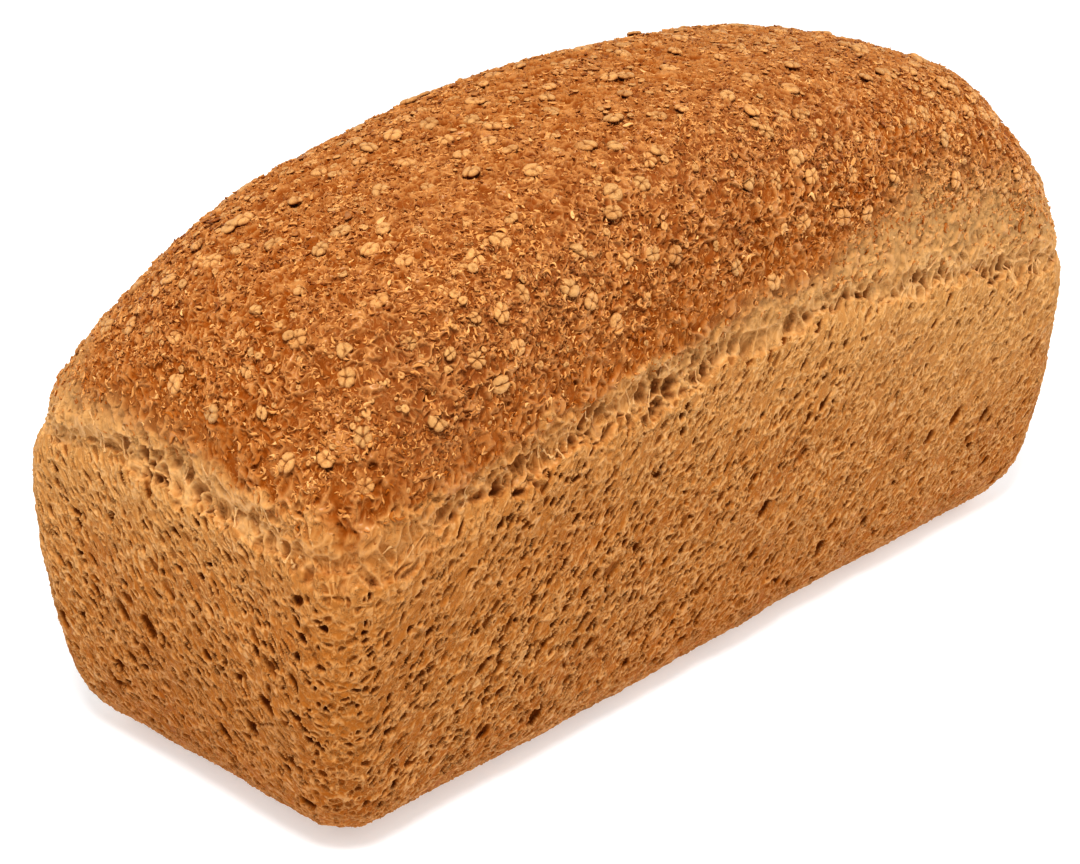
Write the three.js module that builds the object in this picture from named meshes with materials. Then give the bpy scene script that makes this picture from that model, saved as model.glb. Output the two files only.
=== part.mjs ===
// A spelt loaf baked in a straight-sided tin, in millimetres, +Z up.
//
// The loaf lies along X and stands on its flat base at z = 0, with the origin in the
// middle of the base. Up to the tin's rim its walls follow the tin: they taper, and
// their edges are rounded. Above the rim the dough rose free: the sides carry on almost
// upright to the break, the torn line that runs round the loaf in a low arch over each
// side, and above the break the crust closes in a long vault.
//
// The loaf was baked as one piece, so it is one closed body.

import * as THREE from "three";
import { mergeVertices } from "three/addons/utils/BufferGeometryUtils.js";

// ---- Driving dimensions ----

// The tin: inside half sizes at the loaf's base and at the rim.
const RIM_HEIGHT = 66;
const RIM_HALF_LENGTH = 130;
const RIM_HALF_WIDTH = 55;
const BASE_HALF_LENGTH = 124;
const BASE_HALF_WIDTH = 46;
const UPRIGHT_CORNER_RADIUS = 12;
const BASE_EDGE_RADIUS = 15;

// How much of the base edge's inset also comes off the upright corners' radius.
const CORNER_TIGHTENING = 0.5;

// How far the walls stand out past a straight taper, half way up.
const END_WALL_BULGE = 3;
const SIDE_WALL_BULGE = 1.2;

// The vault above the rim.
const VAULT_HEIGHT = 71;
const CREST_HALF_LENGTH = 64;
const VAULT_CORNER_GROWTH = 35;
const VAULT_ROUNDEST_CORNER = 0.85;
const VAULT_HEIGHT_POWER = 2.6;
const VAULT_WIDTH_POWER = 3.8;
const VAULT_LENGTH_POWER = 0.57;
const VAULT_END_DROP = 0.34;
const VAULT_END_TO_END_RISE = 0.04;
const VAULT_LEAN = -7;

// The break: its height over the rim at the corners, at the middle of the long sides
// and at the middle of the ends, and the shallow groove that it leaves.
const BREAK_AT_CORNERS = 5;
const BREAK_ARCH_ON_SIDES = 17;
const BREAK_ARCH_ON_ENDS = 9;
const BREAK_HALF_HEIGHT = 6;
const BREAK_DEPTH = 2.4;

// How finely the surface is divided.
const CORNER_STEPS = 6;
const SIDE_STEPS = 26;
const END_STEPS = 10;
const WALL_ROWS = 14;
const GROOVE_ROWS = 4;
const VAULT_ROWS = 17;
const WALL_ROW_CROWDING = 1.5;
const VAULT_ROW_CROWDING = 1.25;

const RIGHT_ANGLE = Math.PI / 2;
const MERGE_DISTANCE = 0.001;

// ---- Plan outline ----

// A rounded rectangle, anticlockwise from the +X side of the +X, +Y corner, as a list of
// points. Every outline has the same number of points, so outlines can be joined.
function planOutline(halfLength, halfWidth, cornerRadius) {
  const straightX = halfLength - cornerRadius;
  const straightY = halfWidth - cornerRadius;
  const corners = [
    { x: straightX, y: straightY, steps: SIDE_STEPS },
    { x: -straightX, y: straightY, steps: END_STEPS },
    { x: -straightX, y: -straightY, steps: SIDE_STEPS },
    { x: straightX, y: -straightY, steps: END_STEPS },
  ];
  const points = [];
  corners.forEach((corner, index) => {
    const startAngle = index * RIGHT_ANGLE;
    for (let step = 0; step <= CORNER_STEPS; step += 1) {
      const angle = startAngle + (RIGHT_ANGLE * step) / CORNER_STEPS;
      const x = corner.x + cornerRadius * Math.cos(angle);
      const y = corner.y + cornerRadius * Math.sin(angle);
      points.push(new THREE.Vector2(x, y));
    }
    const next = corners[(index + 1) % corners.length];
    const nextAngle = startAngle + RIGHT_ANGLE;
    const offset = new THREE.Vector2(Math.cos(nextAngle), Math.sin(nextAngle));
    const from = new THREE.Vector2(corner.x, corner.y).addScaledVector(offset, cornerRadius);
    const to = new THREE.Vector2(next.x, next.y).addScaledVector(offset, cornerRadius);
    for (let step = 1; step < corner.steps; step += 1) {
      points.push(from.clone().lerp(to, step / corner.steps));
    }
  });
  return points;
}

const RIM_OUTLINE = planOutline(RIM_HALF_LENGTH, RIM_HALF_WIDTH, UPRIGHT_CORNER_RADIUS);
const COLUMNS = RIM_OUTLINE.length;

// ---- The surface, one column at a time ----

// A point on the tin wall, at a height up to the rim.
function wallPoint(column, height) {
  const rise = height / RIM_HEIGHT;
  const belly = Math.sin(Math.PI * rise);
  let halfLength = THREE.MathUtils.lerp(BASE_HALF_LENGTH, RIM_HALF_LENGTH, rise);
  let halfWidth = THREE.MathUtils.lerp(BASE_HALF_WIDTH, RIM_HALF_WIDTH, rise);
  halfLength += END_WALL_BULGE * belly;
  halfWidth += SIDE_WALL_BULGE * belly;
  const below = Math.max(BASE_EDGE_RADIUS - height, 0);
  const inset = BASE_EDGE_RADIUS - Math.sqrt(BASE_EDGE_RADIUS ** 2 - below ** 2);
  const radius = UPRIGHT_CORNER_RADIUS - CORNER_TIGHTENING * inset;
  const outline = planOutline(halfLength - inset, halfWidth - inset, radius);
  return new THREE.Vector3(outline[column].x, outline[column].y, height);
}

// How much of the vault's height stands at a distance along the loaf.
function vaultShare(x) {
  const along = x / RIM_HALF_LENGTH;
  return 1 + VAULT_END_TO_END_RISE * along - VAULT_END_DROP * along ** 2;
}

// A point on the vault. Spread is 1 at the rim and 0 at the crest.
function vaultPoint(column, spread) {
  const closed = 1 - spread ** VAULT_WIDTH_POWER;
  const lengthSpread = spread ** VAULT_LENGTH_POWER;
  const halfLength = THREE.MathUtils.lerp(CREST_HALF_LENGTH, RIM_HALF_LENGTH, lengthSpread);
  const halfWidth = RIM_HALF_WIDTH * spread;
  const lift = Math.sqrt(closed);
  const grownRadius = UPRIGHT_CORNER_RADIUS + VAULT_CORNER_GROWTH * lift;
  const radius = Math.min(grownRadius, VAULT_ROUNDEST_CORNER * halfWidth);
  const flat = planOutline(halfLength, halfWidth, radius)[column];
  const rise = closed ** (1 / VAULT_HEIGHT_POWER);
  const height = RIM_HEIGHT + VAULT_HEIGHT * rise * vaultShare(flat.x);
  return new THREE.Vector3(flat.x, flat.y + VAULT_LEAN * lift, height);
}

// The spread at which a column of the vault reaches a height.
function spreadAt(column, height) {
  const share = vaultShare(RIM_OUTLINE[column].x);
  const rise = (height - RIM_HEIGHT) / (VAULT_HEIGHT * share);
  return (1 - rise ** VAULT_HEIGHT_POWER) ** (1 / VAULT_WIDTH_POWER);
}

function surfacePoint(column, height) {
  if (height <= RIM_HEIGHT) {
    return wallPoint(column, height);
  }
  return vaultPoint(column, spreadAt(column, height));
}

// The height of the break's middle line on a column.
function breakHeight(column) {
  const along = RIM_OUTLINE[column].x / RIM_HALF_LENGTH;
  const across = RIM_OUTLINE[column].y / RIM_HALF_WIDTH;
  const sideArch = BREAK_ARCH_ON_SIDES * (1 - along ** 2);
  const endArch = BREAK_ARCH_ON_ENDS * (1 - across ** 2);
  return RIM_HEIGHT + BREAK_AT_CORNERS + sideArch + endArch;
}

// A direction square to the walls in plan, pointing out of the loaf.
function outward(column) {
  const before = RIM_OUTLINE[(column + COLUMNS - 1) % COLUMNS];
  const after = RIM_OUTLINE[(column + 1) % COLUMNS];
  return new THREE.Vector3(after.y - before.y, before.x - after.x, 0).normalize();
}

// ---- Rows, from the base up to the crest ----

function columnPoints(column) {
  const points = [];
  const breakMiddle = breakHeight(column);
  const wallTop = breakMiddle - BREAK_HALF_HEIGHT;
  for (let row = 0; row < WALL_ROWS; row += 1) {
    const height = wallTop * (row / WALL_ROWS) ** WALL_ROW_CROWDING;
    points.push(surfacePoint(column, height));
  }
  for (let row = 0; row <= GROOVE_ROWS; row += 1) {
    const across = (2 * row) / GROOVE_ROWS - 1;
    const point = surfacePoint(column, breakMiddle + BREAK_HALF_HEIGHT * across);
    const depth = BREAK_DEPTH * Math.cos(RIGHT_ANGLE * across) ** 2;
    points.push(point.addScaledVector(outward(column), -depth));
  }
  const firstSpread = spreadAt(column, breakMiddle + BREAK_HALF_HEIGHT);
  for (let row = 1; row <= VAULT_ROWS; row += 1) {
    const turn = RIGHT_ANGLE * (row / VAULT_ROWS) ** VAULT_ROW_CROWDING;
    const spread = row < VAULT_ROWS ? firstSpread * Math.cos(turn) : 0;
    points.push(vaultPoint(column, spread));
  }
  return points;
}

// ---- One closed body ----

// The rows are joined by two triangles to each step. At the crest the two long sides
// meet, so triangles that have lost their area there are left out. The vault leans, so
// the finished body is moved to have the origin in the middle of its plan.
function loafGeometry() {
  const columns = RIM_OUTLINE.map((_, column) => columnPoints(column));
  const rows = columns[0].length;
  const corners = [];
  const addTriangle = (a, b, c) => corners.push(...a.toArray(), ...b.toArray(), ...c.toArray());
  for (let column = 0; column < COLUMNS; column += 1) {
    const here = columns[column];
    const next = columns[(column + 1) % COLUMNS];
    for (let row = 0; row < rows - 1; row += 1) {
      addTriangle(here[row], next[row], next[row + 1]);
      addTriangle(here[row], next[row + 1], here[row + 1]);
    }
  }
  const base = columns.map((points) => new THREE.Vector2(points[0].x, points[0].y));
  THREE.ShapeUtils.triangulateShape(base, []).forEach(([a, b, c]) => {
    addTriangle(columns[a][0], columns[c][0], columns[b][0]);
  });
  const soup = new THREE.BufferGeometry();
  soup.setAttribute("position", new THREE.Float32BufferAttribute(corners, 3));
  const geometry = mergeVertices(soup, MERGE_DISTANCE);
  const index = Array.from(geometry.getIndex().array);
  const kept = [];
  for (let start = 0; start < index.length; start += 3) {
    const [a, b, c] = index.slice(start, start + 3);
    if (a !== b && b !== c && c !== a) {
      kept.push(a, b, c);
    }
  }
  geometry.setIndex(kept);
  geometry.computeBoundingBox();
  const middle = geometry.boundingBox.getCenter(new THREE.Vector3());
  geometry.translate(-middle.x, -middle.y, 0);
  geometry.computeVertexNormals();
  return geometry;
}

// ---- Finish ----

const crust = new THREE.MeshStandardMaterial({ color: 0xb87840, roughness: 0.8, metalness: 0 });

const loaf = new THREE.Mesh(loafGeometry(), crust);
loaf.name = "loaf";

const speltLoaf = new THREE.Group();
speltLoaf.add(loaf);

export default speltLoaf;
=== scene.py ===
"""A spelt loaf, baked in a tin, with its torn break line, topping flakes and bran.

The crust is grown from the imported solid: it is divided finely, and then pitted where it lay
against the tin, torn open along the break, and wrinkled over the vault. The crumb strands
across the break, the flakes and the bran chips are pieces of their own.
"""

import itertools
import math
from concurrent.futures import ThreadPoolExecutor
from types import SimpleNamespace

import bmesh
import bpy
import numpy as np
from bpy.props import FloatProperty, FloatVectorProperty, IntProperty, PointerProperty
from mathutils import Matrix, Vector


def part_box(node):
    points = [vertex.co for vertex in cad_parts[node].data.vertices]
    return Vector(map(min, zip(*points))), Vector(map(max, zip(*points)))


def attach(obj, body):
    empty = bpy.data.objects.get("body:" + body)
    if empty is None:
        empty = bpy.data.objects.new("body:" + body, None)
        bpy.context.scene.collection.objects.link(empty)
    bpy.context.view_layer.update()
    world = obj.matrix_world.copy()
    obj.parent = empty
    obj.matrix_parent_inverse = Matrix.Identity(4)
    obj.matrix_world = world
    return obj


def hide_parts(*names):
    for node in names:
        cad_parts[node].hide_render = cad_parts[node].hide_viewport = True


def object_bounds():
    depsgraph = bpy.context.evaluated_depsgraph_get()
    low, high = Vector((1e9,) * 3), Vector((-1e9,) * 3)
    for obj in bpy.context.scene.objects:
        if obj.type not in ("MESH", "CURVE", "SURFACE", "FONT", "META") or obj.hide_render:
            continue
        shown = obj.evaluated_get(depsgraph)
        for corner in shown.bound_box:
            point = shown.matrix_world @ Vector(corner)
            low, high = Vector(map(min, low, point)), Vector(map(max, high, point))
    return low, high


bl_info = {
    "name": "Spelt loaf",
    "version": (1, 0, 0),
    "blender": (4, 5, 0),
    "location": "3D View > Sidebar > Spelt loaf",
    "description": "Builds a tin-baked spelt loaf round its packed solid",
    "category": "Object",
}

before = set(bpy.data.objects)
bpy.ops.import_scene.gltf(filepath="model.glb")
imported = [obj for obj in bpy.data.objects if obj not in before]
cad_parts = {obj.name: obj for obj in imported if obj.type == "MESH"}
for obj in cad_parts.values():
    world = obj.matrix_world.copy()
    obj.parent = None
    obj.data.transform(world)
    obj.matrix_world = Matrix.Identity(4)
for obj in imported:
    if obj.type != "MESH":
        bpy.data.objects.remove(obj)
CAD_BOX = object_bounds()

MM = 0.001
FULL_TURN = 2 * math.pi

# Steps from a cell of space to the corners that it spans, and to itself and the cells round it
CORNERS = list(itertools.product((0, 1), repeat=3))
NEIGHBOURS = list(itertools.product((-1, 0, 1), repeat=3))

# Rings of points on top of a flake, as parts of its radius, and points to each ring
WHOLE_RINGS = (0.02, 0.14, 0.3, 0.48, 0.66, 0.82, 0.93, 1.0)
WHOLE_SIDES = 54
BIT_RINGS = (0.05, 0.5, 0.85, 1.0)
BIT_SIDES = 9

# Points along a crumb strand and round it, and how long a strand may be in mm
STRAND_RINGS = 7
STRAND_SIDES = 6
SHORTEST_STRAND = 2.2
LONGEST_STRAND = 5

# Steps along a bran chip, and the corners of its section: parts of half its width and of its
# thickness
CHIP_RINGS = 6
CHIP_SECTION = ((-1, 0), (1, 0), (0.7, 1), (-0.7, 1))

# How far the walls' cells lean along the loaf for each step up
LEAN = 0.55

# Seeds of the random draws
STRAND_SEED = 5
FLAKE_SEED = 17
BRAN_SEED = 29

# Part of a map cell that is left empty on each side
CELL_MARGIN = 0.1

# Points of the crust that one processor core takes at a time
POINTS_AT_ONCE = 40000

FLOOR_REACH = 4.0
FLOOR_GLOW = 0.34
SKY_STRENGTH = 0.36
SENSOR_WIDTH = 36
# Each lamp's place from the loaf's middle and its width in metres, and its power in watts
LAMPS = {
    "overhead softbox": ((-0.38, -0.32, 0.9), 0.4, 7.5),
    "left softbox": ((-0.6, 0.6, 0.5), 0.5, 1.5),
    "side softbox": ((0.62, -0.42, 0.35), 0.4, 1.8),
}


# ---- Colours ----


def shade(red, green, blue):
    """A colour as the eye reads it, from 0 to 255, as the linear colour a shader takes."""
    parts = []
    for value in (red, green, blue):
        value /= 255
        parts.append(value / 12.92 if value <= 0.04045 else ((value + 0.055) / 1.055) ** 2.4)
    return tuple(parts)


def colour_property(name, description, default):
    """A colour that a user picks, as the linear colour a shader takes."""
    return FloatVectorProperty(
        name=name,
        description=description,
        default=default,
        subtype="COLOR",
        size=3,
        min=0,
        max=1,
    )


def length_property(name, description, millimetres):
    """A length that is given in millimetres. Blender keeps it in metres."""
    return FloatProperty(
        name=name, description=description, default=millimetres * MM, min=0, unit="LENGTH"
    )


def in_millimetres(group):
    """A group's settings, with its lengths turned into millimetres."""
    kinds = group.bl_rna.properties
    values = {name: getattr(group, name) for name in group.__annotations__}
    for name in values:
        if kinds[name].unit == "LENGTH":
            values[name] /= MM
    return SimpleNamespace(**values)


# ---- Sizes and colours that a user would change ----


class SPELT_PG_crust(bpy.types.PropertyGroup):
    """How the crust is divided, pitted, torn and wrinkled."""

    face: length_property("Face size", "Side of one face of the finished crust", 0.28)
    trial_face: length_property("Trial face size", "Face side in a quick trial", 0.85)
    break_height: length_property("Break height", "Height of the break at the corners", 71)
    side_arch: length_property("Side arch", "Rise of the break along the long sides", 17)
    end_arch: length_property("End arch", "Rise of the break across the ends", 9)
    break_width: length_property("Break width", "Height of the torn band", 9.5)
    break_depth: length_property("Break depth", "Depth of its deepest pockets", 3.0)
    cell: length_property("Cell size", "Width of the cells on the tin walls", 2.0)
    pit_spacing: length_property("Pit spacing", "Distance between large pits", 5.0)
    lean: FloatProperty(name="Lean", description="Slant of the walls' cells", default=LEAN)
    tan_pattern: IntProperty(name="Tan", description="Pattern of the oven's tan", default=1900)


class SPELT_PG_topping(bpy.types.PropertyGroup):
    """How many flakes, chips and strands there are, and their sizes."""

    flakes: IntProperty(name="Flakes", description="Number of flakes", default=300, min=0)
    flake_width: length_property("Flake width", "Width of a whole flake", 4.8)
    bits: IntProperty(name="Bits", description="Number of broken flakes", default=1500, min=0)
    bit_width: length_property("Bit width", "Width of a broken bit", 1.5)
    chips: IntProperty(name="Bran chips", description="Number of chips", default=32000, min=0)
    chip_length: length_property("Chip length", "Length of a bran chip", 1.05)
    strands: IntProperty(name="Strands", description="Strands on the break", default=200, min=0)
    strand_width: length_property("Strand width", "Width of a crumb strand", 0.48)


class SPELT_PG_colours(bpy.types.PropertyGroup):
    """The colours of the baked loaf."""

    wall: colour_property("Wall", "Crust baked against the tin", shade(170, 109, 49))
    wall_pale: colour_property("Upper wall", "Wall under the break", shade(189, 139, 84))
    wall_dark: colour_property("Lower wall", "Wall near the base", shade(168, 100, 34))
    # Dark colour for pits, pockets and flake creases: painted shade, partly the crust's own
    # darker colour there
    hollow_shade: colour_property("Pits", "Inside of the pits", shade(118, 62, 13))
    # Pale colour for edges: a painted highlight on the crust's ridges and pit rims, and a pale
    # tone of their own on strands and bran chips
    ridge: colour_property("Ridges", "Thin edges that catch the light", shade(230, 182, 124))
    crumb: colour_property("Crumb", "Open crumb in the break", shade(203, 160, 109))
    gold: colour_property("Gold", "Crust just over the break", shade(181, 143, 97))
    amber: colour_property("Amber", "Lower part of the vault", shade(147, 80, 19))
    brown: colour_property("Brown", "Top of the vault", shade(144, 87, 45))
    flake: colour_property("Flakes", "Toasted topping flakes", shade(210, 159, 104))
    bran: colour_property("Bran", "Light bran chips", shade(208, 152, 94))
    floor: colour_property("Floor", "Pale floor", shade(212, 216, 219))


class SPELT_PG_stage(bpy.types.PropertyGroup):
    """The floor, the light and the camera."""

    azimuth: FloatProperty(
        name="Azimuth",
        description="Direction that the camera looks from",
        default=math.radians(-46.3),
        subtype="ANGLE",
    )
    elevation: FloatProperty(
        name="Elevation",
        description="Height of the camera over the horizon",
        default=math.radians(24.6),
        subtype="ANGLE",
    )
    distance: FloatProperty(
        name="Distance",
        description="From the camera to the point that it looks at",
        default=0.613,
        unit="LENGTH",
    )
    lens: FloatProperty(name="Lens", description="Focal length", default=85, unit="CAMERA")


# ---- Repeatable noise, for many points at once ----
# Sizes are in mm. A salt is a whole number that picks one pattern out of many.


def hashed(cell, salt):
    """Numbers from 0 to 1 that depend only on whole-number places and a salt.

    The large odd factors only stir the bits, so that near places get unlike numbers.
    """
    place = cell.astype(np.int32).view(np.uint32)
    bits = place[:, 0] * np.uint32(0x8DA6B343)
    bits ^= place[:, 1] * np.uint32(0xD8163841)
    bits ^= place[:, 2] * np.uint32(0xCB1AB31F)
    bits ^= np.uint32((salt * 0x9E3779B1) & 0xFFFFFFFF)
    for shift, factor in ((15, 0x2C1B3C6D), (12, 0x297A2D39)):
        bits ^= bits >> np.uint32(shift)
        bits *= np.uint32(factor)
    bits ^= bits >> np.uint32(15)
    return bits.astype(np.float32) * np.float32(2**-32)


def soft_noise(points, size, salt):
    """Smooth noise from -1 to 1, with lumps of that size."""
    scaled = points / np.float32(size)
    cell = np.floor(scaled)
    part = scaled - cell
    part = part * part * part * (part * (part * 6 - 15) + 10)
    cell = cell.astype(np.int32)
    total = np.zeros(len(points), np.float32)
    for corner in CORNERS:
        weight = np.ones(len(points), np.float32)
        for axis, side in enumerate(corner):
            weight *= part[:, axis] if side else 1 - part[:, axis]
        total += weight * hashed(cell + np.array(corner, np.int32), salt)
    return 2 * total - 1


def rough_noise(points, size, salt, layers=3):
    """Soft noise in layers, each half the size and half the height of the last."""
    total = np.zeros(len(points), np.float32)
    for layer in range(layers):
        total += soft_noise(points, size / 2**layer, salt + layer) / 2**layer
    return total / (2 - 2 ** (1 - layers))


def bubbles(points, spacing, smallest, largest, share, salt):
    """Depth in mm inside round bubbles scattered through space.

    There is at most one to each cell of the spacing; share is how many cells have one.
    Radii are in spacings, and no more than half of one.
    """
    scaled = points / np.float32(spacing)
    base = np.floor(scaled - 0.5).astype(np.int32)
    deepest = np.zeros(len(points), np.float32)
    for corner in CORNERS:
        place = base + np.array(corner, np.int32)
        squared = np.zeros(len(points), np.float32)
        for axis in range(3):
            centre = place[:, axis] + hashed(place, salt + 1 + axis)
            squared += (scaled[:, axis] - centre) ** 2
        radius = smallest + (largest - smallest) * hashed(place, salt + 4) ** 2
        here = np.sqrt(np.clip(1 - squared / radius**2, 0, 1))
        here[hashed(place, salt) >= share] = 0
        deepest = np.maximum(deepest, here * radius)
    return deepest * np.float32(spacing)


def crumb_cells(points, size, salt):
    """Cells packed through space: how far inside its cell a point is, and the cell's number."""
    scaled = points / np.float32(size)
    base = np.floor(scaled).astype(np.int32)
    first = np.full(len(points), 9, np.float32)
    second = first.copy()
    number = np.zeros(len(points), np.float32)
    for step in NEIGHBOURS:
        place = base + np.array(step, np.int32)
        squared = np.zeros(len(points), np.float32)
        for axis in range(3):
            centre = place[:, axis] + hashed(place, salt + 1 + axis)
            squared += (scaled[:, axis] - centre) ** 2
        distance = np.sqrt(squared)
        nearer = distance < first
        second = np.where(nearer, first, np.minimum(second, distance))
        number = np.where(nearer, hashed(place, salt), number)
        first = np.where(nearer, distance, first)
    return second - first, number


def stir(moved, points, reach, size, salt):
    """Moves a copy of the points by soft noise, so that what is drawn on it is bent."""
    for axis in range(3):
        moved[:, axis] += reach * soft_noise(points, size, salt + axis)


def edge_line(inside, width):
    """1 at the edge of a cell and 0 away from it, a line of about that width."""
    return np.exp(-((inside / width) ** 2))


def ease(low, high, value):
    """0 below low, 1 above high, and a smooth step between."""
    part = np.clip((value - low) / (high - low), 0, 1)
    return part * part * (3 - 2 * part)


# ---- Meshes ----


def build_piece(name, mesh, material):
    """Links a finished mesh as a piece of the loaf."""
    piece = bpy.data.objects.new(name, mesh)
    bpy.context.collection.objects.link(piece)
    mesh.materials.clear()
    mesh.materials.append(material)
    mesh.shade_smooth()
    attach(piece, "root")
    return piece


def mesh_from_tubes(name, points, faces, kinds):
    """A mesh from points in millimetres and faces of four corners each, with its map."""
    mesh = bpy.data.meshes.new(name)
    mesh.vertices.add(len(points))
    mesh.vertices.foreach_set("co", (points * MM).astype(np.float32).ravel())
    mesh.loops.add(faces.size)
    mesh.loops.foreach_set("vertex_index", faces.astype(np.int32).ravel())
    mesh.polygons.add(len(faces))
    mesh.polygons.foreach_set("loop_start", np.arange(0, faces.size, 4, dtype=np.int32))
    lay_out_tubes(mesh, kinds)
    mesh.update(calc_edges=True)
    mesh.validate()
    return mesh


def tube_faces(count, rings, sides, capped=False):
    """Faces of many tubes, each with that many rings of points; caps are for four sides."""
    faces = []
    for ring in range(rings - 1):
        for side in range(sides):
            after = (side + 1) % sides
            low = ring * sides
            high = low + sides
            faces.append((low + side, low + after, high + after, high + side))
    size = rings * sides
    if capped:
        faces += [(3, 2, 1, 0), (size - 4, size - 3, size - 2, size - 1)]
    one = np.array(faces)
    return (one[None] + (np.arange(count) * size)[:, None, None]).reshape(-1, 4)


def lay_out_tubes(mesh, kinds):
    """A map of many tubes, with a cell for each.

    Each kind is a run of like tubes: how many, their rings and sides, whether they are capped,
    and the kind's share of the map's height.
    """
    spots = []
    base = 0
    filled = 1 - 2 * CELL_MARGIN
    for count, rings, sides, capped, share in kinds:
        ring, side = np.divmod(np.arange((rings - 1) * sides), sides)
        along = np.stack([ring, ring, ring + 1, ring + 1], axis=1) / (rings - 1)
        around = np.stack([side, side + 1, side + 1, side], axis=1) / sides
        if capped:
            along = np.vstack([along, [0, 0, 0, 0], [1, 1, 1, 1]])
            around = np.vstack([around, [0.75, 0.5, 0.25, 0], [0, 0.25, 0.5, 0.75]])
        columns = math.ceil(math.sqrt(count / share))
        row, column = np.divmod(np.arange(count), columns)
        rows = row[-1] + 1
        right = (column[:, None, None] + CELL_MARGIN + filled * along[None]) / columns
        up = base + (row[:, None, None] + CELL_MARGIN + filled * around[None]) * share / rows
        spots.append(np.stack([right, up], axis=-1).reshape(-1, 2))
        base += share
    layer = mesh.uv_layers.new(name="OFBake")
    layer.uv.foreach_set("vector", np.concatenate(spots).astype(np.float32).ravel())


def mark_points(mesh, name, values):
    """Gives each point a number that the material can read."""
    layer = mesh.attributes.new(name, "FLOAT", "POINT")
    layer.data.foreach_set("value", values.astype(np.float32))


def mark_directions(mesh, normals):
    """Keeps the directions that the points had before the crust's relief was added."""
    layer = mesh.attributes.new("facing", "FLOAT_VECTOR", "POINT")
    layer.data.foreach_set("vector", normals.astype(np.float32).ravel())


def read_directions(mesh):
    """The directions that mark_directions kept."""
    facing = np.empty(len(mesh.vertices) * 3, np.float32)
    mesh.attributes["facing"].data.foreach_get("vector", facing)
    return facing.reshape(-1, 3)


def read_points(mesh):
    """The points of a mesh in millimetres, and their directions."""
    points = np.empty(len(mesh.vertices) * 3, np.float32)
    mesh.vertices.foreach_get("co", points)
    normals = np.empty(len(mesh.vertices) * 3, np.float32)
    mesh.vertices.foreach_get("normal", normals)
    return points.reshape(-1, 3) / np.float32(MM), normals.reshape(-1, 3)


def read_marks(mesh, name):
    """The numbers that mark_points gave."""
    values = np.empty(len(mesh.vertices), np.float32)
    mesh.attributes[name].data.foreach_get("value", values)
    return values


# ---- The crust ----


def in_parts(work, chosen, *given):
    """Runs slow work on the chosen points only, a part at a time on each processor core."""
    places = np.flatnonzero(chosen)
    parts = np.array_split(places, len(places) // POINTS_AT_ONCE + 1)
    with ThreadPoolExecutor() as cores:
        answers = list(cores.map(lambda part: work(*(values[part] for values in given)), parts))
    results = []
    for answer in zip(*answers):
        result = np.zeros(len(chosen), np.float32)
        result[places] = np.concatenate(answer)
        results.append(result)
    return results


def divided_body(face):
    """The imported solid, welded, smoothed and divided into even faces of that size in mm."""
    body = bmesh.new()
    body.from_mesh(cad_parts["loaf"].data)
    bmesh.ops.remove_doubles(body, verts=body.verts, dist=0.01 * MM)
    bmesh.ops.join_triangles(
        body, faces=body.faces, angle_face_threshold=0.8, angle_shape_threshold=1.2
    )
    coarse = bpy.data.meshes.new("coarse_body")
    body.to_mesh(coarse)
    body.free()
    holder = bpy.data.objects.new("coarse_body", coarse)
    bpy.context.collection.objects.link(holder)
    rounding = holder.modifiers.new("rounding", "SUBSURF")
    rounding.levels = 2
    dividing = holder.modifiers.new("dividing", "REMESH")
    dividing.mode = "VOXEL"
    dividing.voxel_size = face * MM
    easing = holder.modifiers.new("easing", "SMOOTH")
    easing.factor = 0.5
    easing.iterations = 6
    ready = holder.evaluated_get(bpy.context.evaluated_depsgraph_get())
    fine = bpy.data.meshes.new_from_object(ready)
    fine.name = "loaf_crust"
    bpy.data.objects.remove(holder)
    bpy.data.meshes.remove(coarse)
    return fine


def height_over_break(points, crust):
    """How far a point is above the middle of the break, in mm."""
    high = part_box("loaf")[1]
    along = points[:, 0] / (high.x / MM)
    across = points[:, 1] / (high.y / MM)
    line = crust.break_height
    line = line + crust.side_arch * (1 - np.clip(along**2, 0, 1))
    line = line + crust.end_arch * (1 - np.clip(across**2, 0, 1))
    return points[:, 2] - line + 1.6 * soft_noise(points, 17, 11)


def wall_relief(points, flat, crust):
    """Depth of the walls' cells and pits in mm, and how near the top of an edge is, 0 to 1.

    Flat is 1 on the walls and 0 on the upright corners, where the cells are shallow.
    """
    slanted = points.copy()
    stir(slanted, points, 0.5, 2.2, 21)
    slanted[:, 0] -= crust.lean * points[:, 2]
    slanted[:, 1] -= crust.lean * points[:, 2]
    slanted[:, 2] /= 1.8

    # Cells: some are closed, some are deep, and each has walls of its own width
    inside, number = crumb_cells(slanted, crust.cell, 31)
    other = (number * 37) % 1
    narrow = 0.05 + 0.3 * other
    present = ease(0.15, 0.45, number)
    deep = 0.08 + 0.5 * present + 0.75 * ease(0.72, 0.96, number)
    deep *= (0.35 + 0.65 * flat) * (1 + 0.35 * soft_noise(points, 24, 37))
    deep *= 1.2 - 0.65 * ease(-100, 100, points[:, 0])
    pit = ease(narrow, narrow + 0.2, inside)

    # Larger round pits, and the largest of them near the base
    lower = ease(75, 5, points[:, 2])
    spacing = crust.pit_spacing
    pits = bubbles(slanted, spacing, 0.1, 0.27, 0.75, 41)
    low_pits = bubbles(slanted, spacing * 1.25, 0.14, 0.36, 0.75, 51) * lower
    large = np.maximum(pits, low_pits) * (0.2 + 0.8 * flat)

    # Thin folds on what is left level, soft lumps, and a raised rim round each pit
    level = 1 - np.clip(deep * pit + large, 0, 1)
    lines = curled_lines(slanted, 1.7, 0.15, 201) * level
    lumps = (0.26 - 0.14 * flat) * soft_noise(slanted, 1.3, 47)
    rim = present * edge_line(inside - narrow + 0.06, 0.08) * (large < 0.1)
    depth = np.minimum(deep * pit + 1.2 * large, 1.9) - 0.3 * lines - 0.14 * rim - lumps
    return depth, np.maximum(rim, 0.8 * lines)


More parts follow.
